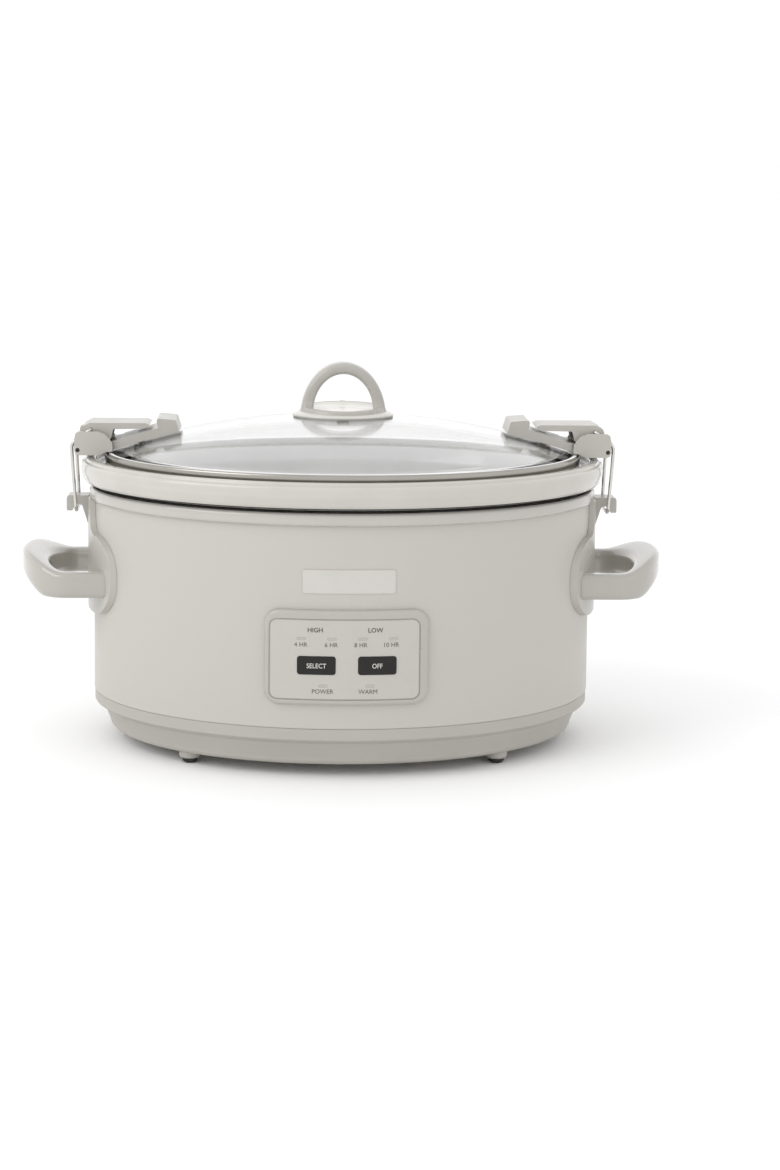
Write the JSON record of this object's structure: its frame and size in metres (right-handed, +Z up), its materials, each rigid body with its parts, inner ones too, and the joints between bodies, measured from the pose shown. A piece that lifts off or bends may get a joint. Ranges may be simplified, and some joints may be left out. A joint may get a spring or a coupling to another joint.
{
  "type": "slow cooker",
  "caption": "Large oval slow cooker: heating base with push-button controls, lift-out stoneware crock, clear glass lid with over-centre latches, and side carrying handles.",
  "frame": {"origin": "on the table, under the middle of the cooker's bounding box", "axes": "+Z up, +X along the long side towards the right handle seen from the front, -Y is the front with the controls"},
  "size_m": [0.451, 0.284, 0.2664],
  "materials": {
    "steel_body": "satin warm grey coating with a fine pearl",
    "base_plastic": "fine texture",
    "foot_rubber": "matt black",
    "ring_plastic": "polished",
    "well_steel": "dull aluminised sheet",
    "heater_sheath": "mica and glass cloth band",
    "blanket_fibre": "white fibre mat",
    "zinc_steel": "zinc plated",
    "sensor_metal": "plain",
    "fuse_ceramic": "matt",
    "board_laminate": "green laminate",
    "relay_case": "moulded",
    "gland_rubber": "matt black",
    "bezel_plastic": "semi-gloss",
    "overlay_film": "satin film, dark line near its edge",
    "window_film": "translucent",
    "lamp_plastic": "clear amber",
    "button_plastic": "satin black",
    "housing_plastic": "moulded",
    "badge_metal": "satin, left blank",
    "bracket_plastic": "semi-gloss",
    "handle_plastic": "polished",
    "crock_glaze": "glossy glaze",
    "lid_glass_clear": "clear, smooth",
    "polished_steel": "polished stainless steel",
    "gasket_silicone": "matt",
    "lid_handle_plastic": "polished",
    "latch_plastic": "semi-gloss",
    "pin_steel": "bright wire"
  },
  "bodies": {
    "base": {"outer_shell": "steel_body", "base_tray": "base_plastic", "rubber_feet": "foot_rubber", "rim_ring": "ring_plastic", "heating_well": "well_steel", "heat_shield": "well_steel", "heater_band": "heater_sheath", "insulation_blanket": "blanket_fibre", "well_stud": "zinc_steel", "stud_nut": "zinc_steel", "base_screws": "zinc_steel", "handle_screws": "zinc_steel", "temperature_sensor": "sensor_metal", "thermal_fuse": "fuse_ceramic", "power_board": "board_laminate", "control_board": "board_laminate", "power_relay": "relay_case", "power_transformer": "relay_case", "button_switches": "relay_case", "cord_gland": "gland_rubber", "control_bezel": "bezel_plastic", "control_overlay": "overlay_film", "light_windows": "window_film", "indicator_lights": "lamp_plastic", "control_housing": "housing_plastic", "blank_badge": "badge_metal", "handle_bracket_right": "bracket_plastic", "handle_bracket_left": "bracket_plastic", "handle_right": "handle_plastic", "handle_left": "handle_plastic"},
    "crock": {"crock": "crock_glaze"},
    "lid": {"lid_glass": "lid_glass_clear", "lid_rim": "polished_steel", "lid_gasket": "gasket_silicone", "lid_handle": "lid_handle_plastic", "lid_handle_screw": "zinc_steel", "lid_handle_washer": "zinc_steel", "latch_screws": "zinc_steel", "latch_nuts": "zinc_steel", "latch_arm_right": "latch_plastic", "latch_arm_left": "latch_plastic", "lever_pin_right": "pin_steel", "lever_pin_left": "pin_steel"},
    "lever_right": {"latch_lever_right": "latch_plastic"},
    "lever_left": {"latch_lever_left": "latch_plastic"},
    "bail_right": {"bail_right": "pin_steel"},
    "bail_left": {"bail_left": "pin_steel"},
    "select_button": {"select_button": "button_plastic"},
    "off_button": {"off_button": "button_plastic"}
  },
  "joints": [
    {"name": "crock_lift", "type": "slide", "parent": "base", "child": "crock", "axis": [0, 0, 1], "range_m": [0, 0.15]},
    {"name": "lid_lift", "type": "slide", "parent": "crock", "child": "lid", "axis": [0, 0, 1], "range_m": [0, 0.15]},
    {"name": "latch_lever_right", "type": "hinge", "parent": "lid", "child": "lever_right", "pos_m": [0.1852, 0, 0.2059], "axis": [0, 1, 0], "range_deg": [0, 110]},
    {"name": "latch_lever_left", "type": "hinge", "parent": "lid", "child": "lever_left", "pos_m": [-0.1852, 0, 0.2059], "axis": [0, -1, 0], "range_deg": [0, 110]},
    {"name": "latch_bail_right", "type": "hinge", "parent": "lever_right", "child": "bail_right", "pos_m": [0.1766, 0, 0.2197], "axis": [0, 1, 0], "range_deg": [-82, 0]},
    {"name": "latch_bail_left", "type": "hinge", "parent": "lever_left", "child": "bail_left", "pos_m": [-0.1766, 0, 0.2197], "axis": [0, -1, 0], "range_deg": [-82, 0]},
    {"name": "select_press", "type": "slide", "parent": "base", "child": "select_button", "axis": [0, 1, 0], "range_m": [0, 0.0008], "stiffness_N_per_m": 300},
    {"name": "off_press", "type": "slide", "parent": "base", "child": "off_button", "axis": [0, 1, 0], "range_m": [0, 0.0008], "stiffness_N_per_m": 300}
  ],
  "couplings": [
    {"joint": "latch_bail_right", "follows": "latch_lever_right", "ratio": -0.74},
    {"joint": "latch_bail_left", "follows": "latch_lever_left", "ratio": -0.74}
  ]
}
